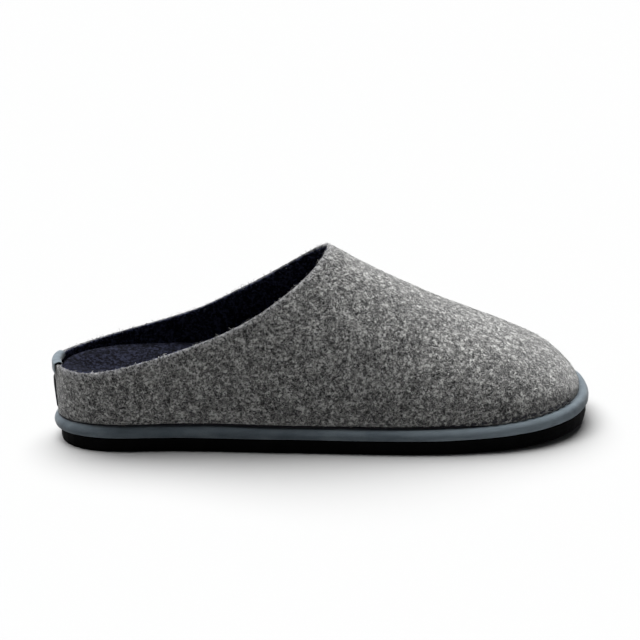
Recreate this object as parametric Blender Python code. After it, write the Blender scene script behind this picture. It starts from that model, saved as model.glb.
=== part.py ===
"""A closed-toe felt slipper for the right foot, standing empty on its sole.

The toe points along +X, the little-toe side is -Y and the floor is Z = 0.
The origin is the centre of the outline, on the floor. Units are metres.
"""

import math

import bmesh
import bpy
import numpy as np

# Plan of the platform, the widest outline of the shoe
LENGTH = 0.286            # heel to toe
HEEL_DEPTH = 0.0444       # length of the rounded heel end
BALL_AT = LENGTH - 0.0745           # widest section, from the heel
WAIST_AT = 0.1160         # narrowest section of the arch, from the heel
HEEL_OUTER = 0.0320       # half widths on the little-toe side
WAIST_OUTER = 0.0418
BALL_OUTER = 0.0540
HEEL_INNER = 0.0346       # half widths on the big-toe side
WAIST_INNER = 0.0320
BALL_INNER = 0.0520
TOE_TIP_SHIFT = 0.0110    # the tip of the toe lies this far to the big-toe side
HEEL_ROUND = 2.1          # exponents of the rounded ends
TOE_ROUND = 2.48

# Sole and platform
OUTSOLE_HEIGHT = 0.0068
OUTSOLE_INSET = 0.0016    # the rubber stands back from the platform
HEEL_INSET = 0.0034       # and further back behind the heel
HEEL_INSET_TO = 0.0178    # up to here, from the heel
OUTSOLE_TAPER = 0.0004    # it tapers in towards the floor
TAPER_HEIGHT = 0.0024     # over this height
WRAP_HEIGHT = 0.0066      # the suede wrap round the platform
WRAP_BULGE = 0.0034       # how far the wrap's rounded side stands out of its top edge
WRAP_TUCK = 0.0020        # and out of its bottom edge
TOE_SPRING = 0.0038
SPRING_FROM = LENGTH - 0.1030       # the sole lies flat up to here
GAP = 0.0003              # clearance between two pieces that touch

# Tread
GROOVE_PITCH = 0.0090
GROOVE_WIDTH = 0.0026
GROOVE_DEPTH = 0.0016
GROOVE_WAVE = 0.0020      # how far each groove waves to and fro
TREAD_BORDER = 0.0075     # plain rim around the grooves
TREAD_START = 0.0150      # first and last groove, from the heel
TREAD_END = LENGTH - 0.0240
GROOVE_WAVE_LENGTH = 0.0540
CUTTER_REACH = 0.0100     # the grooves' cutter starts this far under the floor

# Felt upper
FELT = 0.0030             # thickness of the felt with its lining
LEDGE = 0.0036            # the felt stands back from the platform's outline
TOE_LEDGE = 0.0062
HEEL_LEDGE = 0.0023       # less behind the heel, where the felt overhangs the wrap
HEEL_LEDGE_TO = 0.0222    # the heel's ledge has run out here, from the heel
TOE_LEDGE_FROM = LENGTH - 0.0572    # and the toe's starts here
INSTEP_HEIGHT = 0.0990    # top of the throat above the floor
THROAT_AT = 0.1475        # top of the throat, from the heel
HEEL_COLLAR = 0.0426      # collar height at the back
COLLAR_DIP = 0.0012       # the collar dips this much lower beside the heel, little-toe side
COLLAR_LIFT = 0.0012      # and runs this much higher behind the throat, big-toe side
RIDGE_END = LENGTH - 0.0260         # where the ridge of the vamp runs out, from the heel
THROAT_SHIFT = 0.0026     # the top of the throat lies this far to the big-toe side
RIDGE_SHIFT = 0.0085      # and the ridge's end this far
MIDDLE_START = 0.0240     # the middle line that the sides lean towards starts here
FLARE_BACK = 0.0010       # how far the felt bulges over its seam behind the heel
FLARE_HEEL = 0.0052       # beside the heel
FLARE_BALL = 0.0020
FLARE_TOE = 0.0012
FLARE_OUTER_AT = 0.0222   # the heel's bulge is fullest here on the little-toe side
FLARE_INNER_AT = 0.0400   # and here on the other, both from the heel
FLARE_RISE = 0.8          # below 1 the bulge is fullest under half height

# Footbed
FOOTBED_HEEL = 0.0402     # height of its rim at the heel
FOOTBED_TOE = 0.0215      # and under the toes
FOOTBED_GAP = 0.0005      # clearance to the upper
FOOTBED_ROUND = 0.0026    # rounding of its rim
HEEL_DISH = 0.0050        # depth of the heel cup
TOE_DISH = 0.0016

# Heel tab and patch
TAB_WIDTH = 0.0220
TAB_THICK = 0.0007
TAB_DROP = 0.0048         # how far it reaches down the felt outside
TAB_TUCK = 0.0022         # and inside the collar
TAB_ROLL = 0.0008         # how high its fold arches over the collar's edge
PATCH_WIDTH = 0.0124
PATCH_THICK = 0.0006
PATCH_LOW = 0.0180        # lower and upper end of the patch, above the floor
PATCH_HIGH = 0.0335

# Mesh density
HEEL_COLUMNS = 9
BACK_COLUMNS = 18         # from the rounded heel to the throat
FRONT_COLUMNS = 10        # from the throat to the ball
SIDE_COLUMNS = BACK_COLUMNS + FRONT_COLUMNS
TOE_COLUMNS = 12
COLUMNS = HEEL_COLUMNS + SIDE_COLUMNS + TOE_COLUMNS
THROAT_CROWDING = 1.7     # above 1 the columns crowd towards the throat
UPPER_ROWS = 13
GROOVE_STEPS = 6
TAB_LINES = 9
PATCH_LINES = 7
WRAP_TURNS = (-90, -60, -30, 0, 30, 60, 90)         # degrees up the wrap's rounded side
FOOTBED_SIDE = (0.35, 0.70, 1.00)                   # shares of the footbed's side
FOOTBED_TURNS = (45, 90)                            # degrees over its rim
FOOTBED_INWARD = (0.25, 0.50, 0.75, 1.00)           # shares of the way to the middle
TAB_RISE = (1.00, 0.70, 0.40, 0.15)                 # shares of the drop, from its lower end up
TAB_TURNS = (30, 60, 90, 120, 150)                  # degrees over the collar
TAB_FALL = (0.30, 1.00)                             # shares of the way down inside
PATCH_RISE = (0.00, 0.25, 0.50, 0.75, 1.00)         # shares of the patch's height
HALVINGS = 40             # steps of each search by halving
COLUMN_STEP = 0.05        # step along the columns for a direction on the surface
TURN_STEP = 0.01          # and step of the turn for one, in radians

OUTER = -1                # little-toe side
INNER = 1                 # big-toe side

# Height of the wrap along the shoe: share of the length, share of WRAP_HEIGHT
WRAP_RISE = [(0.00, 1.00), (0.25, 1.00), (0.48, 0.88), (0.72, 0.94), (0.90, 1.10), (1.00, 1.16)]

# Ridge of the vamp: station, share of INSTEP_HEIGHT. The station is -1 at the heel,
# 0 at the throat and 1 at the toe; behind the throat the sides lean towards this line.
RIDGE = [
    (-1.00, 1.30), (-0.515, 1.30), (-0.186, 1.14), (0.00, 1.00), (0.174, 0.856), (0.38, 0.702),
    (0.587, 0.563), (0.752, 0.451), (0.876, 0.345), (1.00, 0.215),
]

# Roundness of the sections: share of the length, exponent of the arch
ARCH = [(0.00, 2.2), (0.35, 2.1), (0.50, 1.85), (0.70, 1.95), (0.88, 2.10), (1.00, 2.2)]

# Collar seen from the side: share of THROAT_AT, share of the rise from heel to throat
COLLAR = [
    (0.00, 0.000), (0.08, 0.004), (0.20, 0.044), (0.37, 0.147), (0.54, 0.286),
    (0.71, 0.488), (0.88, 0.761), (0.934, 0.859), (0.974, 0.945), (0.99, 0.977), (1.00, 1.000),
]

# Where the collar dips: share of THROAT_AT, share of COLLAR_DIP
DIP = [(0.00, 0.0), (0.12, 1.0), (0.32, 0.9), (0.55, 0.0), (1.00, 0.0)]

# Where it lifts on the other side: share of THROAT_AT, share of COLLAR_LIFT
LIFT = [(0.00, 0.0), (0.54, 0.0), (0.66, 1.0), (0.90, 1.0), (1.00, 0.0)]

# Footbed along the shoe: share of the length, share of the drop from heel rim to toe
FOOTBED_FALL = [
    (0.00, 0.00), (0.22, 0.00), (0.36, 0.16), (0.52, 0.55), (0.66, 0.88), (0.80, 1.00), (1.00, 1.00),
]


def curve(table, x, flat_ends=False):
    """A smooth curve through a table of (x, value) that never overshoots its points."""
    xs = [row[0] for row in table]
    ys = [row[1] for row in table]
    if x <= xs[0]:
        return ys[0]
    if x >= xs[-1]:
        return ys[-1]
    steps = [(ys[i + 1] - ys[i]) / (xs[i + 1] - xs[i]) for i in range(len(xs) - 1)]
    slopes = [steps[0]]
    for before, after in zip(steps, steps[1:]):
        same_way = before * after > 0
        slopes.append(2 * before * after / (before + after) if same_way else 0.0)
    slopes.append(steps[-1])
    if flat_ends:
        slopes[0] = 0.0
        slopes[-1] = 0.0
    i = max(k for k in range(len(xs) - 1) if xs[k] <= x)
    span = xs[i + 1] - xs[i]
    t = (x - xs[i]) / span
    rise = ys[i] * (2 * t ** 3 - 3 * t ** 2 + 1) + ys[i + 1] * (3 * t ** 2 - 2 * t ** 3)
    return rise + span * (slopes[i] * (t ** 3 - 2 * t ** 2 + t) + slopes[i + 1] * (t ** 3 - t ** 2))


def spring(x):
    """How far the toe spring lifts the shoe at x from the heel."""
    return TOE_SPRING * max(0.0, (x - SPRING_FROM) / (LENGTH - SPRING_FROM)) ** 2


def platform_top(x):
    """Top of the wrapped platform, before the toe spring."""
    return OUTSOLE_HEIGHT + GAP + WRAP_HEIGHT * curve(WRAP_RISE, x / LENGTH)


def side_half_width(side, x):
    """Half width of the outline between the heel's end and the ball."""
    if side == OUTER:
        table = [(HEEL_DEPTH, HEEL_OUTER), (WAIST_AT, WAIST_OUTER), (BALL_AT, BALL_OUTER)]
    else:
        table = [(HEEL_DEPTH, HEEL_INNER), (WAIST_AT, WAIST_INNER), (BALL_AT, BALL_INNER)]
    return curve(table, x, flat_ends=True)


def side_station(step):
    """Distance from the heel of a column between the rounded ends, closer near the throat."""
    if step <= BACK_COLUMNS:
        share = 1 - (1 - step / BACK_COLUMNS) ** THROAT_CROWDING
        return HEEL_DEPTH + (THROAT_AT - HEEL_DEPTH) * share
    return THROAT_AT + (BALL_AT - THROAT_AT) * (step - BACK_COLUMNS) / FRONT_COLUMNS


def outline_point(side, column):
    """Point of the platform's outline, from the heel's middle (0) to the toe's tip."""
    if column <= HEEL_COLUMNS:
        turn = math.radians(90) * column / HEEL_COLUMNS
        width = side_half_width(side, HEEL_DEPTH)
        x = HEEL_DEPTH * (1 - max(0.0, math.cos(turn)) ** (2 / HEEL_ROUND))
        return x, side * width * math.sin(turn) ** (2 / HEEL_ROUND)
    if column <= HEEL_COLUMNS + SIDE_COLUMNS:
        x = side_station(column - HEEL_COLUMNS)
        return x, side * side_half_width(side, x)
    turn = math.radians(90) * (column - HEEL_COLUMNS - SIDE_COLUMNS) / TOE_COLUMNS
    reach = side * side_half_width(side, BALL_AT) - TOE_TIP_SHIFT
    x = BALL_AT + (LENGTH - BALL_AT) * math.sin(turn) ** (2 / TOE_ROUND)
    return x, TOE_TIP_SHIFT + reach * max(0.0, math.cos(turn)) ** (2 / TOE_ROUND)


def around():
    """The columns once round the shoe: out along the little-toe side, back along the other."""
    out = [(OUTER, column) for column in range(COLUMNS + 1)]
    back = [(INNER, column) for column in range(COLUMNS - 1, 0, -1)]
    return out + back


def outline_normal(side, column):
    """Unit normal of the outline in plan, pointing out of the shoe."""
    if column < COLUMN_STEP:
        return -1.0, 0.0
    if column > COLUMNS - COLUMN_STEP:
        return 1.0, 0.0
    ahead = outline_point(side, column + COLUMN_STEP)
    behind = outline_point(side, column - COLUMN_STEP)
    dx = ahead[0] - behind[0]
    dy = ahead[1] - behind[1]
    size = math.hypot(dx, dy)
    return -side * dy / size, side * dx / size


def inset_point(side, column, inset):
    """The outline moved in by a distance."""
    x, y = outline_point(side, column)
    nx, ny = outline_normal(side, column)
    return x - nx * inset, y - ny * inset


def ledge(x):
    """How far the felt's seam stands back from the outline at x."""
    table = [(0.0, HEEL_LEDGE), (HEEL_LEDGE_TO, LEDGE), (TOE_LEDGE_FROM, LEDGE), (LENGTH, TOE_LEDGE)]
    return curve(table, x)


def ridge_shift(x):
    """Sideways place of the ridge at x."""
    return curve([(0.0, 0.0), (THROAT_AT, THROAT_SHIFT), (RIDGE_END, RIDGE_SHIFT)], x)


def centre_point(column):
    """Point of the middle line that a column leans towards."""
    if column <= HEEL_COLUMNS:
        turn = math.radians(90) * column / HEEL_COLUMNS
        x = HEEL_DEPTH - (HEEL_DEPTH - MIDDLE_START) * math.cos(turn)
    elif column <= HEEL_COLUMNS + SIDE_COLUMNS:
        x = outline_point(OUTER, column)[0]
    else:
        turn = math.radians(90) * (column - HEEL_COLUMNS - SIDE_COLUMNS) / TOE_COLUMNS
        x = BALL_AT + (RIDGE_END - BALL_AT) * math.sin(turn)
    return x, ridge_shift(x)


def ridge_height(x):
    """Height of the ridge at x, before the toe spring."""
    reach = THROAT_AT if x < THROAT_AT else LENGTH - THROAT_AT
    return INSTEP_HEIGHT * curve(RIDGE, (x - THROAT_AT) / reach)


def flare(side, x):
    """How far the felt bulges over its seam at x."""
    full_at = FLARE_OUTER_AT if side == OUTER else FLARE_INNER_AT
    table = [(0.0, FLARE_BACK), (full_at, FLARE_HEEL), (BALL_AT, FLARE_BALL), (LENGTH, FLARE_TOE)]
    return curve(table, x)


def felt_point(side, column, turn):
    """Point of the felt's outer face: turn 0 is the seam, a right angle is the ridge."""
    edge_x, _ = outline_point(side, column)
    seam_x, seam_y = inset_point(side, column, ledge(edge_x))
    nx, ny = outline_normal(side, column)
    centre_x, centre_y = centre_point(column)
    power = 2 / curve(ARCH, seam_x / LENGTH)
    lean = 1 - max(0.0, math.cos(turn)) ** power
    rise = math.sin(turn) ** power
    bulge = flare(side, edge_x) * math.sin(math.pi * rise ** FLARE_RISE)
    x = seam_x + (centre_x - seam_x) * lean + nx * bulge
    y = seam_y + (centre_y - seam_y) * lean + ny * bulge
    foot = platform_top(seam_x) + GAP
    return x, y, foot + (ridge_height(x) - foot) * rise


def collar_height(side, x):
    """Height of the collar at x, before the toe spring."""
    share = x / THROAT_AT
    change = -COLLAR_DIP * curve(DIP, share) if side == OUTER else COLLAR_LIFT * curve(LIFT, share)
    return HEEL_COLLAR + (INSTEP_HEIGHT - HEEL_COLLAR) * curve(COLLAR, share) + change


def turn_at(side, column, height):
    """The turn at which a column reaches a height, which may depend on x."""
    low = 0.0
    high = math.radians(90)
    for _ in range(HALVINGS):
        middle = (low + high) / 2
        x, _, z = felt_point(side, column, middle)
        if z < height(x):
            low = middle
        else:
            high = middle
    return (low + high) / 2


def meets_ridge(column):
    """True where a column runs up to the ridge of the vamp and not to the collar."""
    return column >= HEEL_COLUMNS + BACK_COLUMNS


def collar_turn(side, column):
    """The turn at which a column ends: at the collar, or on the ridge."""
    if meets_ridge(column):
        return math.radians(90)
    return turn_at(side, column, lambda x: collar_height(side, x))


def new_mesh_object(name, points, faces, material):
    """A named object from points and faces, sprung at the toe and centred on the origin."""
    mid_y = (BALL_INNER - BALL_OUTER) / 2
    placed = [(x - LENGTH / 2, y - mid_y, z + spring(x)) for x, y, z in points]
    mesh = bpy.data.meshes.new(name)
    mesh.from_pydata(placed, [], faces)
    work = bmesh.new()
    work.from_mesh(mesh)
    bmesh.ops.remove_doubles(work, verts=work.verts, dist=0.000001)
    bmesh.ops.recalc_face_normals(work, faces=work.faces)
    work.to_mesh(mesh)
    work.free()
    mesh.shade_smooth()
    mesh.set_sharp_from_angle(angle=math.radians(40))
    mesh.materials.append(material)
    thing = bpy.data.objects.new(name, mesh)
    bpy.context.scene.collection.objects.link(thing)
    return thing


def new_material(name, colour, roughness):
    """A plain Principled material."""
    material = bpy.data.materials.new(name)
    material.use_nodes = True
    shader = material.node_tree.nodes["Principled BSDF"]
    shader.inputs["Base Color"].default_value = (*colour, 1.0)
    shader.inputs["Roughness"].default_value = roughness
    shader.inputs["Metallic"].default_value = 0.0
    return material


def grid_faces(columns, rows, first=0):
    """Quads of a closed band of columns, each with its rows from bottom to top."""
    faces = []
    for c in range(columns):
        here = first + c * rows
        there = first + (c + 1) % columns * rows
        for r in range(rows - 1):
            faces.append((here + r, there + r, there + r + 1, here + r + 1))
    return faces


def cross_faces(row_of, top):
    """Strips from side to side that close a band: row_of gives a column's end point."""
    faces = []
    for column in range(COLUMNS):
        out_a = column
        out_b = column + 1
        in_a = (2 * COLUMNS - column) % (2 * COLUMNS)
        in_b = 2 * COLUMNS - column - 1
        ring = []
        for index in (out_a, out_b, in_b, in_a):
            point = row_of(index)
            if point not in ring:
                ring.append(point)
        faces.append(tuple(ring) if top else tuple(reversed(ring)))
    return faces


def banded_solid(name, column_points, material):
    """A solid from one list of points per column, closed by strips at both ends."""
    columns = [column_points(side, column) for side, column in around()]
    rows = len(columns[0])
    points = [point for column in columns for point in column]
    faces = grid_faces(len(columns), rows)
    faces += cross_faces(lambda c: c * rows + rows - 1, top=True)
    faces += cross_faces(lambda c: c * rows, top=False)
    return new_mesh_object(name, points, faces, material)


def vertex_normals(points, faces):
    """Area-weighted normals of a mesh of quads; a point in no face gets none."""
    points = np.array(points)
    normals = np.zeros_like(points)
    for face in faces:
        corners = points[list(face)]
        area = np.cross(corners[2] - corners[0], corners[3] - corners[1])
        for index in face:
            normals[index] += area
    size = np.linalg.norm(normals, axis=1)
    size[size == 0] = 1.0
    return normals / size[:, None]


def outsole_inset(x):
    """How far the rubber stands back from the platform's outline at x."""
    return curve([(0.0, HEEL_INSET), (HEEL_INSET_TO, OUTSOLE_INSET), (LENGTH, OUTSOLE_INSET)], x)


def make_outsole(material):
    """Black rubber sole with waved grooves across its underside."""

    def profile(side, column):
        inset = outsole_inset(outline_point(side, column)[0])
        foot_x, foot_y = inset_point(side, column, inset + OUTSOLE_TAPER)
        top_x, top_y = inset_point(side, column, inset)
        return [(foot_x, foot_y, 0.0), (top_x, top_y, TAPER_HEIGHT), (top_x, top_y, OUTSOLE_HEIGHT)]

    sole = banded_solid("outsole", profile, material)
    cutter = make_groove_cutter(material)
    cut = sole.modifiers.new("grooves", "BOOLEAN")
    cut.operation = "DIFFERENCE"
    cut.solver = "EXACT"
    cut.object = cutter
    return sole


def outline_y_at(side, x):
    """The outline's y on one side at x, by halving the columns."""
    low = 0.0
    high = float(COLUMNS)
    for _ in range(HALVINGS):
        middle = (low + high) / 2
        if outline_point(side, middle)[0] < x:
            low = middle
        else:
            high = middle
    return outline_point(side, (low + high) / 2)[1]


def make_groove_cutter(material):
    """One waved bar for each groove of the tread."""
    points = []
    faces = []
    count = int((TREAD_END - TREAD_START) / GROOVE_PITCH) + 1
    margin = OUTSOLE_INSET + TREAD_BORDER
    for number in range(count):
        x = TREAD_START + number * GROOVE_PITCH
        y_low = outline_y_at(OUTER, x) + margin
        y_high = outline_y_at(INNER, x) - margin
        first = len(points)
        for step in range(GROOVE_STEPS + 1):
            y = y_low + (y_high - y_low) * step / GROOVE_STEPS
            wave = GROOVE_WAVE * math.sin(math.tau * y / GROOVE_WAVE_LENGTH)
            behind = x + wave - GROOVE_WIDTH / 2
            ahead = x + wave + GROOVE_WIDTH / 2
            points += [(behind, y, -CUTTER_REACH), (ahead, y, -CUTTER_REACH)]
            points += [(ahead, y, GROOVE_DEPTH), (behind, y, GROOVE_DEPTH)]
        for step in range(GROOVE_STEPS):
            here = first + 4 * step
            for side in range(4):
                after = (side + 1) % 4
                faces.append((here + side, here + after, here + 4 + after, here + 4 + side))
        faces.append((first + 3, first + 2, first + 1, first))
        last = first + 4 * GROOVE_STEPS
        faces.append((last, last + 1, last + 2, last + 3))
    cutter = new_mesh_object("groove_cutter", points, faces, material)
    cutter.hide_render = True
    cutter.display_type = "WIRE"
    return cutter


def make_platform(material):
    """Platform under the foot, wrapped in suede with a rounded side."""

    def profile(side, column):
        x, _ = outline_point(side, column)
        low = OUTSOLE_HEIGHT + GAP
        high = platform_top(x)
        rows = []
        for degrees in WRAP_TURNS:
            turn = math.radians(degrees)
            depth = WRAP_TUCK if degrees < 0 else WRAP_BULGE
            px, py = inset_point(side, column, depth * (1 - math.cos(turn)))
            rows.append((px, py, (low + high) / 2 + (high - low) / 2 * math.sin(turn)))
        return rows

    return banded_solid("wrapped_platform", profile, material)


def make_upper(material):
    """One hollow shell of felt, open at the collar and underneath."""
    columns = around()
    rows = UPPER_ROWS + 1
    outer = []
    for side, column in columns:
        end = collar_turn(side, column)
        for row in range(rows):
            outer.append(felt_point(side, column, end * row / UPPER_ROWS))
    shared = list(range(len(outer)))
    for index, (side, column) in enumerate(columns):
        if side == INNER and meets_ridge(column):
            shared[index * rows + rows - 1] = column * rows + rows - 1
    outer_faces = [tuple(shared[i] for i in face) for face in grid_faces(len(columns), rows)]
    normals = vertex_normals(outer, outer_faces)
    inner = []
    for index, point in enumerate(outer):
        moved = np.array(point) - normals[index] * FELT
        if index % rows == 0:
            flat = np.array([normals[index][0], normals[index][1], 0.0])
            moved = np.array(point) - flat / np.linalg.norm(flat) * FELT
        inner.append(tuple(moved))
    count = len(outer)
    faces = list(outer_faces)
    faces += [tuple(count + i for i in reversed(face)) for face in outer_faces]
    for index in range(len(columns)):
        here = index * rows
        there = (index + 1) % len(columns) * rows
        faces.append((there, here, count + here, count + there))
        top_here = shared[here + rows - 1]
        top_there = shared[there + rows - 1]
        column = columns[index][1]
        next_column = columns[(index + 1) % len(columns)][1]
        if not (meets_ridge(column) and meets_ridge(next_column)):
            faces.append((top_here, top_there, count + top_there, count + top_here))
    return new_mesh_object("upper", outer + inner, faces, material)


def footbed_rim(x):
    """Height of the footbed's rim at x, before the toe spring."""
    return FOOTBED_HEEL + (FOOTBED_TOE - FOOTBED_HEEL) * curve(FOOTBED_FALL, x / LENGTH)


def dish(x):
    """Depth of the footbed's hollow at x."""
    return curve([(0.0, HEEL_DISH), (HEEL_DEPTH, HEEL_DISH), (BALL_AT, TOE_DISH), (LENGTH, TOE_DISH)], x)


def felt_normal(side, column, turn):
    """Unit normal of the felt's outer face."""
    up = np.subtract(felt_point(side, column, turn + TURN_STEP), felt_point(side, column, turn))
    if COLUMN_STEP < column < COLUMNS - COLUMN_STEP:
        ahead = felt_point(side, column + COLUMN_STEP, turn)
        behind = felt_point(side, column - COLUMN_STEP, turn)
        along = np.subtract(ahead, behind)
    else:
        nx, ny = outline_normal(side, column)
        along = np.array([side * ny, -side * nx, 0.0])
    normal = np.cross(along, up) * -side
    return normal / np.linalg.norm(normal)


def inner_wall_point(side, column, height, inset):
    """Point inside the upper at a height, set in from the felt's outer face."""
    turn = turn_at(side, column, lambda x: height)
    for _ in range(3):
        normal = felt_normal(side, column, turn)
        outer_height = height + normal[2] * inset
        turn = turn_at(side, column, lambda x: outer_height)
    moved = np.subtract(felt_point(side, column, turn), normal * inset)
    return moved[0], moved[1], height


def make_footbed(material):
    """Thick felt-covered footbed with a heel cup, which fills the upper's foot."""

    def profile(side, column):
        inset = FELT + FOOTBED_GAP
        foot_x, foot_y = inset_point(side, column, ledge(outline_point(side, column)[0]) + inset)
        floor = platform_top(foot_x) + GAP
        side_top = footbed_rim(foot_x) - FOOTBED_ROUND
        rows = [(foot_x, foot_y, floor)]
        for share in FOOTBED_SIDE:
            rows.append(inner_wall_point(side, column, floor + (side_top - floor) * share, inset))
        for degrees in FOOTBED_TURNS:
            turn = math.radians(degrees)
            height = side_top + FOOTBED_ROUND * math.sin(turn)
            rounded = inset + FOOTBED_ROUND * (1 - math.cos(turn))
            rows.append(inner_wall_point(side, column, height, rounded))
        edge_x, edge_y = rows[-1][:2]
        centre_x, centre_y = centre_point(column)
        depth = dish(foot_x)
        for share in FOOTBED_INWARD:
            x = edge_x + (centre_x - edge_x) * share
            y = edge_y + (centre_y - edge_y) * share
            rows.append((x, y, footbed_rim(x) - depth * math.sin(math.radians(90) * share) ** 2))
        return rows

    columns = [profile(side, column) for side, column in around()]
    rows = len(columns[0])
    points = [point for column in columns for point in column]
    for index, (side, column) in enumerate(around()):
        if side == INNER:
            points[index * rows + rows - 1] = points[column * rows + rows - 1]
    faces = grid_faces(len(columns), rows)
    faces += cross_faces(lambda c: c * rows, top=False)
    return new_mesh_object("footbed", points, faces, material)


def heel_column(side, y):
    """The column of the heel that lies at a distance from the middle line."""
    width = side_half_width(side, HEEL_DEPTH)
    turn = math.asin(min(1.0, (abs(y) / width) ** (HEEL_ROUND / 2)))
    return HEEL_COLUMNS * turn / math.radians(90)


def heel_frame(y, height):
    """Point, outward normal and upward direction of the felt at the back of the heel."""
    side = OUTER if y < 0 else INNER
    column = heel_column(side, y)
    turn = turn_at(side, column, height)
    here = np.array(felt_point(side, column, turn))
    up = np.array(felt_point(side, column, turn + TURN_STEP)) - here
    up /= np.linalg.norm(up)
    nx, ny = outline_normal(side, column)
    out = np.array([nx, ny, 0.0])
    out -= up * np.dot(out, up)
    out /= np.linalg.norm(out)
    return here, out, up


def strip_solid(name, paths, material):
    """A bent strip from one path per line along it; each path is (inner, outer) points."""
    across = len(paths)
    along = len(paths[0])
    points = []
    for path in paths:
        points += [tuple(pair[0]) for pair in path]
        points += [tuple(pair[1]) for pair in path]
    faces = []

    def at(line, step, layer):
        return line * 2 * along + layer * along + step

    for line in range(across - 1):
        for step in range(along - 1):
            for layer, flip in ((0, False), (1, True)):
                ring = [
                    at(line, step, layer), at(line + 1, step, layer),
                    at(line + 1, step + 1, layer), at(line, step + 1, layer),
                ]
                faces.append(tuple(reversed(ring)) if flip else tuple(ring))
        for step in (0, along - 1):
            low = (at(line, step, 0), at(line + 1, step, 0))
            faces.append(low + (at(line + 1, step, 1), at(line, step, 1)))
    for line in (0, across - 1):
        for step in range(along - 1):
            low = (at(line, step, 0), at(line, step + 1, 0))
            faces.append(low + (at(line, step + 1, 1), at(line, step, 1)))
    return new_mesh_object(name, points, faces, material)


def make_heel_tab(material):
    """Suede tab folded over the collar at the back seam."""
    paths = []
    for line in range(TAB_LINES):
        y = TAB_WIDTH * (line / (TAB_LINES - 1) - 0.5)
        side = OUTER if y < 0 else INNER
        path = []
        for share in TAB_RISE:
            here, out, _ = heel_frame(y, lambda x, s=share: collar_height(side, x) - TAB_DROP * s)
            path.append((here + out * GAP, here + out * (GAP + TAB_THICK)))
        top, out, up = heel_frame(y, lambda x: collar_height(side, x))
        path.append((top + out * GAP + up * GAP / 2, top + out * (GAP + TAB_THICK) + up * GAP))
        half = FELT / 2 + GAP
        middle = top - out * FELT / 2
        for degrees in TAB_TURNS:
            turn = math.radians(degrees)
            way_out = out * math.cos(turn)
            way_up = up * math.sin(turn)
            inner = middle + way_out * half + way_up * TAB_ROLL
            outer = middle + way_out * (half + TAB_THICK) + way_up * (TAB_ROLL + TAB_THICK)
            path.append((inner, outer))
        for share in TAB_FALL:
            down = middle - out * half - up * TAB_TUCK * share
            path.append((down, down - out * TAB_THICK))
        paths.append(path)
    return strip_solid("heel_tab", paths, material)


def make_heel_patch(material):
    """Plain dark patch on the felt below the tab."""
    paths = []
    for line in range(PATCH_LINES):
        y = PATCH_WIDTH * (line / (PATCH_LINES - 1) - 0.5)
        path = []
        for share in PATCH_RISE:
            height = PATCH_LOW + (PATCH_HIGH - PATCH_LOW) * share
            here, out, _ = heel_frame(y, lambda x, h=height: h)
            path.append((here + out * GAP, here + out * (GAP + PATCH_THICK)))
        paths.append(path)
    return strip_solid("heel_patch", paths, material)


def main():
    for thing in list(bpy.data.objects):
        bpy.data.objects.remove(thing, do_unlink=True)
    rubber = new_material("black_rubber", (0.004, 0.004, 0.005), 0.65)
    suede = new_material("blue_grey_suede", (0.110, 0.140, 0.165), 0.85)
    felt = new_material("grey_felt", (0.140, 0.140, 0.138), 0.95)
    navy = new_material("navy_felt", (0.016, 0.018, 0.032), 0.95)
    dark = new_material("dark_suede", (0.008, 0.008, 0.010), 0.85)
    make_outsole(rubber)
    make_platform(suede)
    make_footbed(navy)
    make_upper(felt)
    make_heel_tab(suede)
    make_heel_patch(dark)


main()
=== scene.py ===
"""The looks of a grey felt slipper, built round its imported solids. Units are metres.

The toe points along +X, the little-toe side is -Y and the floor is Z = 0.
"""

import math

import bmesh
import bpy
import numpy as np
from mathutils import Matrix, Vector, noise
from mathutils.kdtree import KDTree


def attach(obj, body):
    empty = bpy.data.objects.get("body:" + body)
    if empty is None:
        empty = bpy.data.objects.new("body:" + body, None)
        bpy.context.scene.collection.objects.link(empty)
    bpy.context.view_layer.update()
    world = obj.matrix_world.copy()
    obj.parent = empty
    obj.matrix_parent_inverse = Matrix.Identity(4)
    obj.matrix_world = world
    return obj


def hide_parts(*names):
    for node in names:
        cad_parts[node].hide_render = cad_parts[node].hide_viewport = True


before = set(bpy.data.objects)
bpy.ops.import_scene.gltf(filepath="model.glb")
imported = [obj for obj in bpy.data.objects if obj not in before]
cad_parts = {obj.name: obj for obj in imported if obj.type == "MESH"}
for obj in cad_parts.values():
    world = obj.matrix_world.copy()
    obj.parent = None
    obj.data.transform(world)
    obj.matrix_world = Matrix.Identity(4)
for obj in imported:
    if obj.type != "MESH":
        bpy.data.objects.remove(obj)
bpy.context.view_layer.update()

# Camera, from the photo
AIM = Vector((0.0, 0.001, 0.040))
DISTANCE = 0.900
YAW = math.radians(-3.03)
ELEVATION = math.radians(18.07)
ROLL = math.radians(-1.19)
LENS = 95.68
SHIFT = (-0.0038, 0.0516)

# Solids turned into pieces
MERGE = 0.00002           # vertices closer than this become one
SKIN_ANGLE = 50           # a smooth skin ends where it bends more sharply than this, in degrees

# Felt
OUTER_FELT = 0.0019       # thickness of the grey layer
LINING = 0.0009           # thickness of the navy layer
TUCK_HEIGHT = 0.0030      # the felt's foot turns in over this height
TUCK_DEPTH = 0.0009       # and by this much
HEEL_TUCK = 0.2           # share of that tuck which is left behind the heel
TOE_SWELL = 0.0005        # at the toe the foot swells out over the seam by this much
TOE_DROP = 0.0010         # and sits this much lower on the wrap
HEEL_DROP = 0.4           # share of that drop at the heel
FELT_LUMPS = 0.00022      # unevenness of the felt's face
FOOT_EVEN = 0.004         # it fades out towards the foot over this height
LINING_LUMPS = 0.00012
BED_LUMPS = 0.00025       # height of the footbed's wide lumps
BED_PILE = 0.00012        # and of its small ones
RIM_WIDTH = 0.0034        # the felt is painted paler towards the collar's edge over this width, a painted highlight where the top of the collar catches the light
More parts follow.
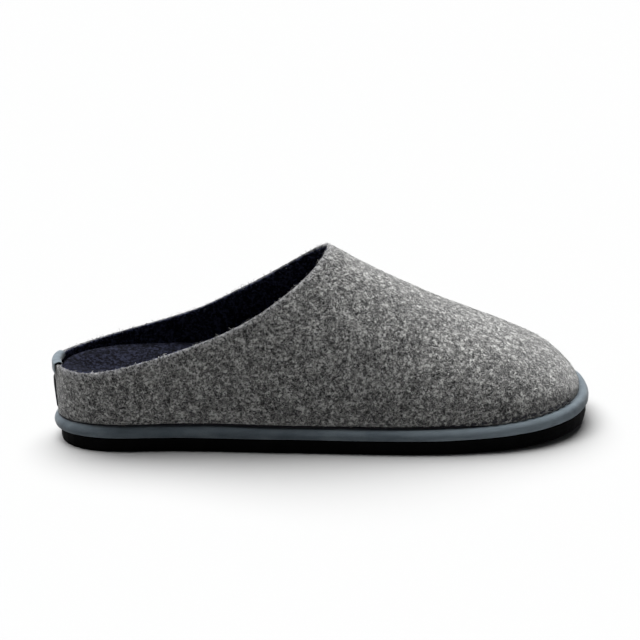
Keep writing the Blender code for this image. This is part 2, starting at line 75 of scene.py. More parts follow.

# Wool fibres that lie loose on the felt
FIBRES = 34000
FIBRE_SEED = 11
FIBRE_LENGTH = 0.0026     # of the longest
FIBRE_WIDTH = 0.00016     # of the widest
STRAY_FIBRES = 0.02       # share of them that stand up

# Soft creases of the upper: centre x, y, z, direction along the crease,
# half length, half width and depth. A negative depth is a ridge.
CREASES = [
    ((-0.005, -0.040, 0.058), (0.55, 0.10, -0.80), 0.030, 0.0075, 0.0007),
    ((0.018, -0.037, 0.052), (0.50, 0.15, -0.84), 0.028, 0.0080, -0.0006),
    ((0.052, -0.030, 0.050), (0.20, 0.85, 0.48), 0.024, 0.0070, 0.0006),
    ((0.064, 0.000, 0.052), (0.05, 1.00, 0.05), 0.030, 0.0080, 0.0004),
    ((0.078, -0.026, 0.042), (0.15, 0.88, 0.44), 0.020, 0.0065, -0.0004),
    ((-0.060, -0.040, 0.030), (0.95, 0.00, 0.30), 0.036, 0.0080, 0.0006),
    ((-0.105, -0.034, 0.029), (0.98, 0.00, 0.10), 0.022, 0.0060, -0.0004),
    ((0.010, 0.033, 0.060), (0.50, -0.10, -0.84), 0.030, 0.0080, 0.0007),
    ((0.050, 0.036, 0.046), (0.20, -0.85, 0.48), 0.024, 0.0070, 0.0006),
    ((-0.055, 0.032, 0.032), (0.95, 0.00, 0.30), 0.036, 0.0080, 0.0006),
]

# Suede
WRINKLES = 0.00016        # depth of the wrap's lengthwise wrinkles
WRAP_LUMPS = 0.00022
TAB_LUMPS = 0.00012
TOE_HIGHLIGHT = 0.95             # painted highlight: how much paler the wrap is painted along the sides of the toe, where the light falls
TOE_HIGHLIGHT_FROM = 0.020       # it sets in here
TOE_HIGHLIGHT_FADE = 0.050       # over this length
TOE_HIGHLIGHT_TO = 0.134         # and is gone here
TIP_FADE = 0.016          # over this length

# Patch
PATCH_PRESS = 0.0005      # pressed against the felt by half of this at its top and more below
PATCH_LOW = 0.030         # the press grows below this height
PATCH_FADE = 0.012        # over this height
PATCH_EDGE = 0.00025      # width of its rounded edge

# Seam between felt and wrap
SEAM_CORD = 0.00055       # radius of the dark cord in the seam, which is part thread and part painted shadow line
SEAM_THIN_TO = -0.060     # behind here the cord and the tuck get smaller
HEEL_FADE = 0.03          # over this length
HEEL_CORD = 0.45          # share of the cord's radius at the heel
SEAM_CORD_END = 0.084     # the cord sinks away before here, where single stitches show
TOE_FADE = 0.02           # the tuck runs out over this length before it
CORD_FADE = 0.012         # and the cord over this length
STITCH_PITCH = 0.0054
STITCH_LENGTH = 0.0030
STITCH_RADIUS = 0.00055
STITCH_SLANT = 0.18       # how steeply a stitch climbs the felt
STITCH_RISE = 0.0006      # how high they sit above the felt's foot
STITCH_CLIMB = 0.0019     # and how much higher at the toe
STITCH_OUT = 0.0002       # how far they stand out of the felt's face, twice this at the toe
CLIMB_FROM = 0.060        # the climb starts here
CLIMB_LENGTH = 0.025      # and takes this length
STITCHES_START = 0.046    # further back they lie hidden in the seam
STITCHES_END = 0.128      # round the tip of the toe the felt hides them

# Floor and light
FLOOR_SIZE = 120.0
FLOOR_GREY = 0.33
SKY_STRENGTH = 0.044
OVERHEAD_LIGHT = ((0.16, -0.43, -1.0), 10.2, 62)      # way it shines, strength, spread in degrees
FRONT_LIGHT = ((-0.70, 0.65, -0.45), 0.12, 60)


def only(piece):
    """Deselects everything, then selects one piece and makes it active."""
    bpy.ops.object.select_all(action="DESELECT")
    piece.select_set(True)
    bpy.context.view_layer.objects.active = piece


def copy_of(node, name):
    """A new piece from a CAD node's mesh, merged and turned to quads."""
    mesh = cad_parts[node].data.copy()
    mesh.materials.clear()
    piece = bpy.data.objects.new(name, mesh)
    bpy.context.scene.collection.objects.link(piece)
    only(piece)
    bpy.ops.mesh.customdata_custom_splitnormals_clear()
    bpy.ops.object.mode_set(mode="EDIT")
    bpy.ops.mesh.select_all(action="SELECT")
    bpy.ops.mesh.remove_doubles(threshold=MERGE)
    bpy.ops.mesh.mark_sharp(clear=True)
    bpy.ops.mesh.tris_convert_to_quads(face_threshold=math.radians(50), shape_threshold=math.radians(70))
    bpy.ops.object.mode_set(mode="OBJECT")
    return piece


def keep_skin(piece, seed):
    """Keeps the smooth skin that holds one face, deletes the rest and closes small holes."""
    only(piece)
    bpy.ops.object.mode_set(mode="EDIT")
    bpy.ops.mesh.select_all(action="DESELECT")
    bpy.ops.mesh.select_mode(type="FACE")
    bpy.ops.object.mode_set(mode="OBJECT")
    piece.data.polygons[seed].select = True
    bpy.ops.object.mode_set(mode="EDIT")
    bpy.ops.mesh.faces_select_linked_flat(sharpness=math.radians(SKIN_ANGLE))
    bpy.ops.mesh.select_all(action="INVERT")
    bpy.ops.mesh.delete(type="FACE")
    bpy.ops.mesh.select_all(action="SELECT")
    bpy.ops.mesh.fill_holes(sides=8)
    bpy.ops.object.mode_set(mode="OBJECT")


def finish_modifier(piece, kind, **settings):
    """Adds a modifier to a piece and applies it."""
    only(piece)
    added = piece.modifiers.new(kind.lower(), kind)
    for key, value in settings.items():
        setattr(added, key, value)
    bpy.ops.object.modifier_apply(modifier=added.name)


def smooth_up(piece, levels):
    """Rounds of subdivision surface."""
    finish_modifier(piece, "SUBSURF", levels=levels, render_levels=levels)


def border_loops(piece):
    """The open borders of a skin, as lists of vertex numbers in order."""
    work = bmesh.new()
    work.from_mesh(piece.data)
    work.verts.ensure_lookup_table()
    after = {}
    for edge in work.edges:
        if edge.is_boundary:
            for vert in edge.verts:
                after.setdefault(vert.index, []).append(edge.other_vert(vert).index)
    loops = []
    left = set(after)
    while left:
        start = min(left)
        loop = [start]
        left.discard(start)
        while True:
            ahead = [i for i in after[loop[-1]] if i in left]
            if not ahead:
                break
            loop.append(ahead[0])
            left.discard(ahead[0])
        loops.append(loop)
    work.free()
    return loops


def points_of(piece):
    """Positions and normals of a piece's vertices."""
    count = len(piece.data.vertices)
    points = np.zeros(count * 3)
    normals = np.zeros(count * 3)
    piece.data.vertices.foreach_get("co", points)
    piece.data.vertices.foreach_get("normal", normals)
    return points.reshape(-1, 3), normals.reshape(-1, 3)


def move_points(piece, points):
    """Puts a piece's vertices at new positions."""
    piece.data.vertices.foreach_set("co", np.asarray(points, np.float32).ravel())
    piece.data.update()


def distances(points, line):
    """How far each point lies from the nearest of the points that a line lists by number."""
    tree = KDTree(len(line))
    for index in line:
        tree.insert(points[index], index)
    tree.balance()
    return np.array([tree.find(p)[2] for p in points])


def heel_share(x):
    """0 along the side, 1 behind the heel."""
    return np.clip((SEAM_THIN_TO - x) / HEEL_FADE, 0, 1)


def lumps(points, size, offset):
    """Soft noise from -1 to 1 at each point, with lumps of a size."""
    shift = Vector((offset, offset * 2.3, -offset))
    return np.array([noise.noise(Vector(p) / size + shift) for p in points])


def crease_depth(points):
    """How far the listed creases press in at each point."""
    total = np.zeros(len(points))
    for centre, along, half_length, half_width, depth in CREASES:
        way = np.array(along) / np.linalg.norm(along)
        away = points - np.array(centre)
        length = away @ way
        side = np.linalg.norm(away - length[:, None] * way, axis=1)
        total += depth * np.exp(-(length / half_length) ** 2 - (side / half_width) ** 2)
    return total


def outermost_face(piece):
    """The face that lies furthest out on the little-toe side."""
    return min(piece.data.polygons, key=lambda face: face.center.y).index


def ceiling_face(piece):
    """A face of the inside that looks down on the foot."""
    return max(piece.data.polygons, key=lambda face: -face.normal.z * (face.center.z > 0.06)).index


def paint(piece, *materials):
    """Gives a piece its materials in the order of its material numbers."""
    piece.data.materials.clear()
    for material in materials:
        piece.data.materials.append(material)


def done(piece, slot, material, *nodes):
    """Shades a piece smooth and hands it to the frame."""
    for face in piece.data.polygons:
        face.use_smooth = True
    if material:
        paint(piece, material)
    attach(piece, "root")
    if nodes:
        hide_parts(*nodes)


class Value:
    """A shader socket that Python's operators build Math nodes from."""

    def __init__(self, finish, socket):
        self.finish = finish
        self.socket = socket

    def math(self, operation, *others):
        inputs = dict(enumerate((self, *others)))
        return self.finish.add("ShaderNodeMath", {"operation": operation}, inputs)

    def __add__(self, other):
        return self.math("ADD", other)

    def __radd__(self, other):
        return self.math("ADD", other)

    def __sub__(self, other):
        return self.math("SUBTRACT", other)

    def __rsub__(self, other):
        return self.finish.add("ShaderNodeMath", {"operation": "SUBTRACT"}, {0: other, 1: self})

    def __mul__(self, other):
        return self.math("MULTIPLY", other)

    def __rmul__(self, other):
        return self.math("MULTIPLY", other)

    def clipped(self):
        return self.math("MAXIMUM", 0.0).math("MINIMUM", 1.0)

    def size(self):
        return self.math("ABSOLUTE")


class Finish:
    """One material: a Principled shader and the nodes that feed it."""

    def __init__(self, name, **constants):
        self.material = bpy.data.materials.new(name)
        self.material.use_nodes = True
        self.tree = self.material.node_tree
        self.shader = self.tree.nodes["Principled BSDF"]
        for key, value in constants.items():
            self.shader.inputs[key.replace("_", " ")].default_value = value

    def add(self, kind, settings, inputs, output=0):
        node = self.tree.nodes.new(kind)
        for key, value in settings.items():
            if key == "stops":
                self.set_stops(node.color_ramp, value)
            else:
                setattr(node, key, value)
        for key, value in inputs.items():
            self.put(node.inputs[key], value)
        return Value(self, node.outputs[output])

    def set_stops(self, ramp, stops):
        while len(ramp.elements) < len(stops):
            ramp.elements.new(0.5)
        for element, (place, rgb) in zip(ramp.elements, stops):
            element.position = place
            element.color = colour(*rgb)

    def put(self, socket, value):
        if isinstance(value, Value):
            self.tree.links.new(value.socket, socket)
        else:
            socket.default_value = value

    def feed(self, name, value):
        self.put(self.shader.inputs[name], value)

    def place(self, stretch=(1.0, 1.0, 1.0), shift=(0.0, 0.0, 0.0)):
        where = self.add("ShaderNodeTexCoord", {}, {}, "Object")
        return self.add("ShaderNodeMapping", {}, {"Vector": where, "Scale": stretch, "Location": shift})

    def grain(self, size, detail=2.0, rough=0.5, twist=0.0, stretch=(1.0, 1.0, 1.0), shift=(0.0, 0.0, 0.0)):
        """Noise whose features have about one size, in metres."""
        inputs = {
            "Vector": self.place(stretch, shift), "Scale": 1.0 / size, "Detail": detail,
            "Roughness": rough, "Distortion": twist,
        }
        return self.add("ShaderNodeTexNoise", {}, inputs)

    def strands(self, size, width, twist, stretch=(1.0, 1.0, 1.0), shift=(0.0, 0.0, 0.0)):
        """Thin curled lines, 1 on a strand and 0 between."""
        field = self.grain(size, 1.0, 0.5, twist, stretch, shift)
        return (1.0 - (field - 0.5).size() * (1.0 / width)).clipped()

    def mix(self, share, first, second):
        inputs = {0: share, 6: first, 7: second}
        return self.add("ShaderNodeMix", {"data_type": "RGBA"}, inputs, 2)

    def ramp(self, value, stops):
        return self.add("ShaderNodeValToRGB", {"stops": stops}, {0: value})

    def bump(self, height, depth, strength=1.0):
        inputs = {"Height": height, "Distance": depth, "Strength": strength}
        self.feed("Normal", self.add("ShaderNodeBump", {}, inputs))


def colour(*rgb):
    """A colour with full alpha, for a socket."""
    return (*rgb, 1.0)


def grey_felt():
    """Mottled wool felt: dark ground, pale curled fibres, matt."""
    felt = Finish(
        "grey_felt", Roughness=0.95, Sheen_Weight=0.42, Sheen_Roughness=0.45, Specular_IOR_Level=0.1,
    )
    cloud = felt.grain(0.015, 2.0)
    blotch = felt.grain(0.0036, 2.0, 0.6, 0.6)
    fleck = felt.grain(0.0015, 2.0, 0.7, 0.8, shift=(0.3, 0.1, 0.7))
    tone = blotch * 0.30 + fleck * 0.64 + cloud * 0.06
    stops = [
        (0.405, (0.006, 0.006, 0.007)), (0.46, (0.032, 0.032, 0.032)), (0.53, (0.122, 0.122, 0.119)),
        (0.595, (0.450, 0.450, 0.434)),
    ]
    ground = felt.ramp(tone, stops)
    pale = felt.strands(0.0040, 0.030, 2.2) * felt.grain(0.006, 1.0, shift=(0.5, 0.5, 0.1))
    dark = felt.strands(0.0046, 0.030, 2.6, shift=(0.2, 0.8, 0.6))
    ground = felt.mix(dark * 0.50, ground, colour(0.016, 0.016, 0.018))
    ground = felt.mix((pale * 1.3).clipped(), ground, colour(0.42, 0.42, 0.408))
    # painted highlight: pale specks towards the collar's edge, where its top catches the light
    rim = felt.add("ShaderNodeAttribute", {"attribute_name": "rim"}, {}, "Fac")
    rim_highlight = (rim * 1.5).clipped() * (fleck * 4.2 - 1.75).clipped()
    ground = felt.mix(rim_highlight, ground, colour(0.42, 0.42, 0.43))
    brink = felt.ramp(fleck, [
        (0.42, (0.008, 0.008, 0.010)), (0.52, (0.040, 0.040, 0.046)), (0.62, (0.150, 0.150, 0.165)),
    ])
    felt.feed("Base Color", felt.mix((rim * 3.4 - 2.4).clipped() * 0.80, ground, brink))
    felt.bump(tone + pale * 0.25 - dark * 0.15, 0.0011, 0.85)
    return felt.material


def cut_edge():
    """The felt's cut edge: dark with pale specks, and a little lavender."""
    edge = Finish(
        "felt_cut_edge", Roughness=0.95, Sheen_Weight=0.08, Sheen_Roughness=0.5, Specular_IOR_Level=0.1,
    )
    tone = edge.grain(0.0020, 3.0, 0.7, 0.5) * 0.7 + edge.grain(0.007, 2.0) * 0.3
    stops = [(0.43, (0.012, 0.012, 0.014)), (0.50, (0.052, 0.052, 0.058)), (0.58, (0.26, 0.26, 0.28))]
    edge.feed("Base Color", edge.ramp(tone, stops))
    edge.bump(tone, 0.0008, 0.8)
    return edge.material


def navy_felt(name, lift):
    """Dark navy wool felt with a soft pile."""
    felt = Finish(name, Roughness=0.95, Sheen_Weight=0.014, Sheen_Roughness=0.4, Specular_IOR_Level=0.03)
    tone = felt.grain(0.0026, 2.0, 0.65, 0.6) * 0.45 + felt.grain(0.0013, 2.0, 0.7, 0.5) * 0.55
    stops = [
        (0.42, (0.0012, 0.0013, 0.0040)), (0.50, (0.0080, 0.0090, 0.0190)), (0.58, (0.034, 0.038, 0.068)),
    ]
    ground = felt.ramp(tone, [(place, [lift * part for part in shade]) for place, shade in stops])
    pale = felt.strands(0.0046, 0.018, 2.2) * felt.grain(0.008, 1.0, shift=(0.5, 0.5, 0.1))
    felt.feed("Base Color", felt.mix(pale * 0.6, ground, colour(0.05 * lift, 0.055 * lift, 0.085 * lift)))
    felt.bump(tone + pale * 0.2, 0.0009, 0.7)
    return felt.material


def suede(name, low, middle, high):
    """Short-napped suede, streaked along the shoe, painted paler by a stored share as a painted highlight.
    """
    nap = Finish(name, Roughness=0.85, Sheen_Weight=0.15, Sheen_Roughness=0.4, Specular_IOR_Level=0.25)
    streak = nap.grain(0.004, 2.0, 0.5, 0.3, stretch=(0.16, 1.0, 1.0))
    pores = nap.grain(0.0006, 2.0, 0.6)
    cloud = nap.grain(0.014, 2.0, 0.5)
    tone = streak * 0.40 + pores * 0.20 + cloud * 0.40
    # painted highlight: paler where the stored share says, on the lit sides of the toe
    rubbed = nap.add("ShaderNodeAttribute", {"attribute_name": "rubbed"}, {}, "Fac")
    plain = nap.ramp(tone, [(0.36, low), (0.50, middle), (0.64, high)])
    highlight_colour = colour(*(1.6 * part for part in high))
    nap.feed("Base Color", nap.mix(rubbed * (streak + 0.10), plain, highlight_colour))
    nap.feed("Roughness", 0.72 + 0.24 * streak)
    nap.bump(pores * 0.6 + streak * 0.4, 0.00035, 0.6)
    return nap.material


def black_rubber():
    """Matt black rubber with a fine grain and a little dust on it."""
    rubber = Finish("black_rubber", Specular_IOR_Level=0.04)
    grain = rubber.grain(0.0008, 2.0, 0.6)
    dust = rubber.grain(0.009, 3.0, 0.6)
    stops = [(0.40, (0.0006, 0.0006, 0.0008)), (0.75, (0.0030, 0.0030, 0.0034))]
    rubber.feed("Base Color", rubber.ramp(dust, stops))
    rubber.feed("Roughness", 0.62 + 0.25 * dust)
    rubber.bump(grain, 0.0002, 0.5)
    return rubber.material


def thread():
    """Dark navy sewing thread."""
    twine = Finish("navy_thread", Roughness=0.7, Sheen_Weight=0.2, Specular_IOR_Level=0.2)
    ply = twine.grain(0.0005, 1.0, 0.5, stretch=(1.0, 1.0, 2.0))
    twine.feed("Base Color", twine.ramp(ply, [(0.4, (0.0035, 0.0035, 0.006)), (0.65, (0.012, 0.012, 0.02))]))
    twine.bump(ply, 0.0002, 0.5)
    return twine.material


def loose_wool():
    """Loose wool fibres, each with its own shade."""
    wool = Finish("grey_fibres", Roughness=0.9, Sheen_Weight=0.3, Specular_IOR_Level=0.1)
    shade = wool.add("ShaderNodeAttribute", {"attribute_name": "shade"}, {}, "Fac")
    wool.feed("Base Color", wool.mix(shade, colour(0.03, 0.03, 0.031), colour(0.55, 0.55, 0.53)))
    return wool.material


GREY = grey_felt()
EDGE = cut_edge()
# One navy felt at two brightnesses, which paint light and shade: the lining's copy is about 3.4 times
# lighter, to lift the shade inside the upper.
NAVY = navy_felt("navy_felt_footbed", 0.32)
NAVY_LINING = navy_felt("navy_felt_lining", 1.1)
SUEDE = suede("blue_grey_suede", (0.052, 0.067, 0.080), (0.078, 0.097, 0.113), (0.110, 0.134, 0.151))
DARK_SUEDE = suede("dark_suede", (0.004, 0.004, 0.006), (0.009, 0.009, 0.012), (0.018, 0.018, 0.022))
RUBBER = black_rubber()
THREAD = thread()
WOOL = loose_wool()


def store(mesh, name, values):
    """Keeps one number for each vertex, for a material to read."""
    kept = mesh.attributes.new(name, "FLOAT", "POINT")
    kept.data.foreach_set("value", np.asarray(values, np.float32))


def build_felt():
    """The grey layer of the upper: creased, turned in at its foot, with a dark cut edge."""
    felt = copy_of("upper", "felt_shell")
    keep_skin(felt, outermost_face(felt))
    smooth_up(felt, 1)
    loops = border_loops(felt)
    points, normals = points_of(felt)
    foot = min(loops, key=lambda loop: points[loop][:, 2].mean())
    collar = max(loops, key=lambda loop: points[loop][:, 2].mean())
    near = distances(points, foot)
    low = np.clip(1 - near / TUCK_HEIGHT, 0, 1)
    toe = 1 - np.clip((SEAM_CORD_END - points[:, 0]) / TOE_FADE, 0, 1)
    heel = heel_share(points[:, 0])
    tuck = TUCK_DEPTH * low ** 2 * (1 - toe) * (1 - (1 - HEEL_TUCK) * heel)
    uneven = lumps(points, 0.013, 3.0) + 0.6 * lumps(points, 0.006, 7.0)
    press = crease_depth(points) + tuck - TOE_SWELL * toe * low
    press += FELT_LUMPS * uneven * np.clip(near / FOOT_EVEN, 0, 1)
    points = points - normals * press[:, None]
    ends = 1 - (1 - toe) * (1 - heel)
    points[:, 2] -= TOE_DROP * (HEEL_DROP + (1 - HEEL_DROP) * toe) * ends * low
    move_points(felt, points)
    points, normals = points_of(felt)
    seam = [Vector(p) for p in points[foot]]
    facing = [Vector(n) for n in normals[foot]]
    # share that paints the highlight towards the collar's edge
    store(felt.data, "rim", np.clip(1 - distances(points, collar) / RIM_WIDTH, 0, 1))
    finish_modifier(
        felt, "SOLIDIFY", thickness=OUTER_FELT, offset=-1.0, use_even_offset=True, material_offset_rim=1,
    )
    smooth_up(felt, 1)
    paint(felt, GREY, EDGE)
    done(felt, "grey_felt", None, "upper")
    return felt, seam, facing


def build_lining():
    """The navy layer inside the upper."""
    lining = copy_of("upper", "navy_lining")
    keep_skin(lining, ceiling_face(lining))
    points, normals = points_of(lining)
    press = LINING_LUMPS * lumps(points, 0.012, 5.0)
    move_points(lining, points + normals * press[:, None])
    finish_modifier(lining, "SOLIDIFY", thickness=LINING, offset=-1.0, use_even_offset=True)
    smooth_up(lining, 1)
    done(lining, "navy_felt", NAVY_LINING)


def build_footbed():
    """The navy footbed, a little lumpy under its pile."""
    bed = copy_of("footbed", "felt_footbed")
    smooth_up(bed, 2)
    points, normals = points_of(bed)
    press = BED_LUMPS * lumps(points, 0.016, 9.0) + BED_PILE * lumps(points, 0.005, 2.0)
    move_points(bed, points - normals * press[:, None])
    done(bed, "navy_felt", NAVY, "footbed")


def build_wrap():
    """The suede round the platform: soft, with faint lengthwise wrinkles."""
    wrap = copy_of("wrapped_platform", "suede_wrap")
    smooth_up(wrap, 2)
    points, normals = points_of(wrap)
    long_ways = points * np.array([0.22, 0.22, 1.0])
    press = WRINKLES * lumps(long_ways, 0.0022, 4.0) + WRAP_LUMPS * lumps(points, 0.011, 6.0)
    side = np.clip(1 - np.abs(normals[:, 2]) ** 4, 0, 1)
    move_points(wrap, points - normals * (press * side)[:, None])
    # painted highlight along the sides of the toe, faded in from behind and out before the tip
    behind = np.clip((points[:, 0] - TOE_HIGHLIGHT_FROM) / TOE_HIGHLIGHT_FADE, 0, 1)
    ahead = np.clip((TOE_HIGHLIGHT_TO - points[:, 0]) / TIP_FADE, 0, 1)
    store(wrap.data, "rubbed", TOE_HIGHLIGHT * (behind * ahead))
    done(wrap, "blue_grey_suede", SUEDE, "wrapped_platform")


def build_tab():
    """The suede tab folded over the collar at the heel."""
    tab = copy_of("heel_tab", "suede_tab")
    smooth_up(tab, 2)
    points, normals = points_of(tab)
    press = TAB_LUMPS * lumps(points, 0.005, 8.0)
    move_points(tab, points - normals * press[:, None])
    done(tab, "blue_grey_suede", SUEDE, "heel_tab")


def build_patch():
    """The plain dark patch below the tab."""
    patch = copy_of("heel_patch", "dark_heel_patch")
    points = points_of(patch)[0]
    low = np.clip((PATCH_LOW - points[:, 2]) / PATCH_FADE, 0, 1)
    move_points(patch, points + np.outer(PATCH_PRESS * (0.5 + low), (1.0, 0.0, 0.0)))
    finish_modifier(patch, "BEVEL", width=PATCH_EDGE, segments=2, limit_method="ANGLE")
    done(patch, "dark_suede", DARK_SUEDE, "heel_patch")


def spread_along(points, pitch):
    """Places at even distances round a closed line, each with its step's number and direction."""
    line = list(points) + [points[0]]
    steps = [(b - a).length for a, b in zip(line, line[1:])]
    total = sum(steps)
    count = max(2, round(total / pitch))
    places = []
    for number in range(count):
        left = total * (number + 0.5) / count
        index = 0
        while left > steps[index]:
            left -= steps[index]
            index += 1
        way = (line[index + 1] - line[index]).normalized()
        places.append((index, line[index] + way * left, way))
    return places


def build_seam_cord(seam):
    """The dark cord that lies in the seam between felt and wrap, round the heel from side to side: part
    thread, part a painted shadow line along the seam.
    """
    line = bpy.data.curves.new("seam_shadow_cord", "CURVE")
    line.dimensions = "3D"
    spline = line.splines.new("POLY")
    tip = max(range(len(seam)), key=lambda index: seam[index].x)
    places = [place for place in seam[tip:] + seam[:tip] if place.x < SEAM_CORD_END]
    spline.points.add(len(places) - 1)
    for point, place in zip(spline.points, places):
        point.co = (*place, 1.0)
        ending = min(1.0, (SEAM_CORD_END - place.x) / CORD_FADE)
        point.radius = (1.0 - (1.0 - HEEL_CORD) * heel_share(place.x)) * max(ending, 0.05)
    line.bevel_depth = SEAM_CORD
    line.bevel_resolution = 2
    line.use_fill_caps = True
    cord = bpy.data.objects.new("seam_shadow_cord", line)
    bpy.context.scene.collection.objects.link(cord)
    only(cord)
    bpy.ops.object.convert(target="MESH")
    done(bpy.context.view_layer.objects.active, "navy_felt", THREAD)


def one_stitch(name):
    """One stitch: a short rounded thread, modelled along X at the origin."""
    bpy.ops.object.select_all(action="DESELECT")
    bpy.ops.mesh.primitive_cylinder_add(
        vertices=8, radius=STITCH_RADIUS, depth=STITCH_LENGTH, end_fill_type="NGON",
    )
    stitch = bpy.context.view_layer.objects.active
    stitch.name = name
    bpy.ops.object.mode_set(mode="EDIT")
    bpy.ops.mesh.select_all(action="SELECT")
    bpy.ops.transform.rotate(value=math.radians(90), orient_axis="Y", center_override=(0, 0, 0))
    bpy.ops.object.mode_set(mode="OBJECT")
    finish_modifier(stitch, "BEVEL", width=STITCH_RADIUS * 0.6, segments=2, limit_method="ANGLE")
    return stitch


def sew(name, places, slot):
    """Copies of one stitch, joined to one piece. Each place is a point, a way along and a way out."""
    pattern = one_stitch(name + "_pattern")
    work = bmesh.new()
    for point, along, out in places:
        up = along.cross(out).normalized()
        out = up.cross(along).normalized()
        turn = Matrix((along, out, up)).transposed().to_4x4()
        before = len(work.verts)
        work.from_mesh(pattern.data)
        work.verts.ensure_lookup_table()
        bmesh.ops.transform(work, matrix=Matrix.Translation(point) @ turn, verts=work.verts[before:])
    mesh = bpy.data.meshes.new(name)
    work.to_mesh(mesh)
    work.free()
    bpy.data.objects.remove(pattern)
    row = bpy.data.objects.new(name, mesh)
    bpy.context.scene.collection.objects.link(row)
    done(row, slot, THREAD)


def build_seam_stitches(seam, facing):
    """The stitches that hold the felt's foot down on the wrap, up on the felt's face at the toe."""
    places = []
    for index, point, way in spread_along(seam, STITCH_PITCH):
        if not STITCHES_START < point.x < STITCHES_END:
            continue
        out = facing[index]
        climb = out.cross(way).normalized()
        climb = climb if climb.z > 0 else -climb
        along = (way + climb * STITCH_SLANT).normalized()
        toe = min(1.0, max(0.0, (point.x - CLIMB_FROM) / CLIMB_LENGTH))
        raised = point + climb * (STITCH_RISE + STITCH_CLIMB * toe) + out * STITCH_OUT * (1 + toe)
        places.append((raised, along, out))
    sew("seam_stitches", places, "navy_felt")


def build_fibres(felt):
    """Short loose fibres over the felt's outer face, as thin bent ribbons."""
    count = FIBRES
    rng = np.random.default_rng(FIBRE_SEED)
    felt.data.calc_loop_triangles()
    corners = np.zeros(len(felt.data.loop_triangles) * 3, int)
    felt.data.loop_triangles.foreach_get("vertices", corners)
    corners = corners.reshape(-1, 3)
    points, normals = points_of(felt)
    a, b, c = (points[corners[:, k]] for k in range(3))
    tall = np.cross(b - a, c - a)
    area = np.linalg.norm(tall, axis=1)
    owner = np.zeros(len(corners), int)
    felt.data.loop_triangles.foreach_get("polygon_index", owner)
    edge = np.zeros(len(felt.data.polygons), int)
    felt.data.polygons.foreach_get("material_index", edge)
    area = area * shown_face(points[corners].mean(axis=1), tall) * (edge[owner] == 0)
    pick = rng.choice(len(corners), size=count, p=area / area.sum())
    u, v = rng.random(count), rng.random(count)
    over = u + v > 1
    u[over], v[over] = 1 - u[over], 1 - v[over]
    root = a[pick] + (b - a)[pick] * u[:, None] + (c - a)[pick] * v[:, None]
    out = normals[corners[pick]].mean(axis=1)
    out /= np.linalg.norm(out, axis=1)[:, None]
    drift = rng.normal(size=(count, 3))
    lie = drift - (drift * out).sum(axis=1)[:, None] * out
    lie /= np.linalg.norm(lie, axis=1)[:, None]
    bend = np.cross(out, lie)
    length = (rng.random(count) * 0.7 + 0.3) * FIBRE_LENGTH
    stray = rng.random(count) < STRAY_FIBRES
    rise = np.where(stray, rng.random(count) * 0.30 + 0.2, rng.random(count) * 0.10)
    curl = rng.normal(size=count) * 0.35
    ribbons = []
    for share, lift, sway in ((0.0, -0.05, 0.0), (0.5, 1.0, 1.0), (1.0, 0.7, 0.2)):
        centre = root + lie * (length * share)[:, None] + out * (length * rise * lift)[:, None]
        ribbons.append(centre + bend * (length * curl * sway)[:, None])
    width = (rng.random(count) * 0.5 + 0.5) * FIBRE_WIDTH
    across = bend * (width / 2)[:, None] + out * (width / 4)[:, None]
    rows = [np.stack([line - across, line + across], axis=1) for line in ribbons]
    verts = np.concatenate(rows, axis=1).reshape(-1, 3)
    base = np.arange(count)[:, None] * 6
    faces = np.concatenate([base + np.array([0, 1, 3, 2]), base + np.array([2, 3, 5, 4])])
    mesh = bpy.data.meshes.new("grey_fibres")
    mesh.from_pydata(verts.tolist(), [], faces.tolist())
    store(mesh, "shade", np.repeat(rng.random(count) ** 1.3, 6))
    piece = bpy.data.objects.new("grey_fibres", mesh)
    bpy.context.scene.collection.objects.link(piece)
    done(piece, "grey_felt", WOOL)


def shown_face(centres, normals):
    """1 for faces that look out of the shoe, 0 for hidden ones inside the wall."""
    count = len(centres)
    middle = np.stack([centres[:, 0] * 0.92, np.zeros(count), np.full(count, 0.012)], axis=1)
    return ((centres - middle) * normals).sum(axis=1) > 0


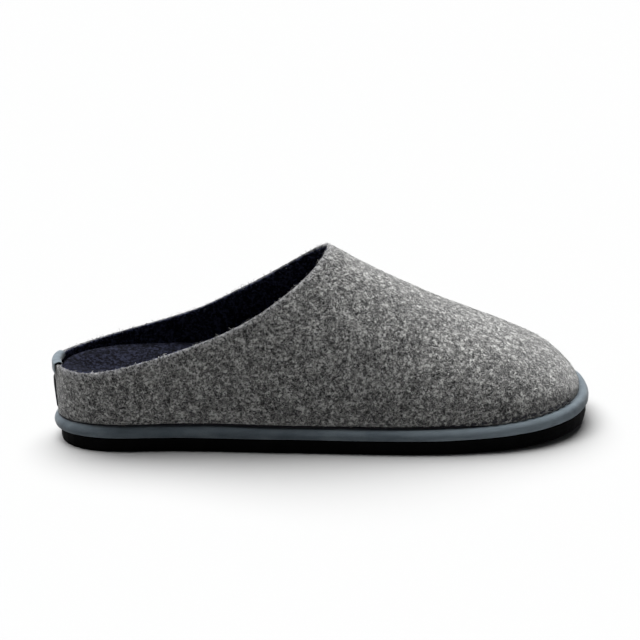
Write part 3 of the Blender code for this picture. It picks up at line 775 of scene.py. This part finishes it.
def build_floor():
    """A plain pale floor."""
    bpy.ops.object.select_all(action="DESELECT")
    bpy.ops.mesh.primitive_plane_add(size=FLOOR_SIZE, location=(0, 0, 0))
    floor = bpy.context.view_layer.objects.active
    floor.name = "floor"
    grey = colour(FLOOR_GREY, FLOOR_GREY, FLOOR_GREY)
    ground = Finish("pale_floor", Base_Color=grey, Roughness=0.95, Specular_IOR_Level=0.0)
    paint(floor, ground.material)


def add_sun(name, way, strength, spread):
    """A soft distant light that shines along a direction."""
    lamp = bpy.data.lights.new(name, "SUN")
    lamp.energy = strength
    lamp.angle = math.radians(spread)
    holder = bpy.data.objects.new(name, lamp)
    holder.rotation_mode = "QUATERNION"
    holder.rotation_quaternion = Vector(way).to_track_quat("-Z", "Y")
    bpy.context.scene.collection.objects.link(holder)


def add_camera():
    """The camera at the photo's angle."""
    ahead = Vector((
        -math.sin(YAW) * math.cos(ELEVATION), math.cos(YAW) * math.cos(ELEVATION), -math.sin(ELEVATION),
    ))
    level = Vector((math.cos(YAW), math.sin(YAW), 0.0))
    above = level.cross(ahead)
    right = math.cos(ROLL) * level + math.sin(ROLL) * above
    up = -math.sin(ROLL) * level + math.cos(ROLL) * above
    data = bpy.data.cameras.new("camera")
    data.lens = LENS
    data.sensor_width = 36.0
    data.shift_x, data.shift_y = SHIFT
    data.clip_start = 0.01
    camera = bpy.data.objects.new("camera", data)
    turn = Matrix((right, up, -ahead)).transposed().to_4x4()
    camera.matrix_world = Matrix.Translation(AIM - ahead * DISTANCE) @ turn
    bpy.context.scene.collection.objects.link(camera)
    bpy.context.scene.camera = camera


def light_up():
    """Soft studio light, mostly from above and a little from behind."""
    world = bpy.data.worlds.new("studio")
    world.use_nodes = True
    sky = world.node_tree.nodes["Background"]
    sky.inputs["Color"].default_value = colour(0.92, 0.95, 1.0)
    sky.inputs["Strength"].default_value = SKY_STRENGTH
    bpy.context.scene.world = world
    add_sun("overhead_light", *OVERHEAD_LIGHT)
    add_sun("front_light", *FRONT_LIGHT)
    bpy.context.scene.view_settings.view_transform = "Standard"


felt, seam, facing = build_felt()
build_lining()
build_footbed()
build_wrap()
build_tab()
build_patch()
build_seam_cord(seam)
build_seam_stitches(seam, facing)
paint(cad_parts["outsole"], RUBBER)
build_fibres(felt)

build_floor()
light_up()
add_camera()
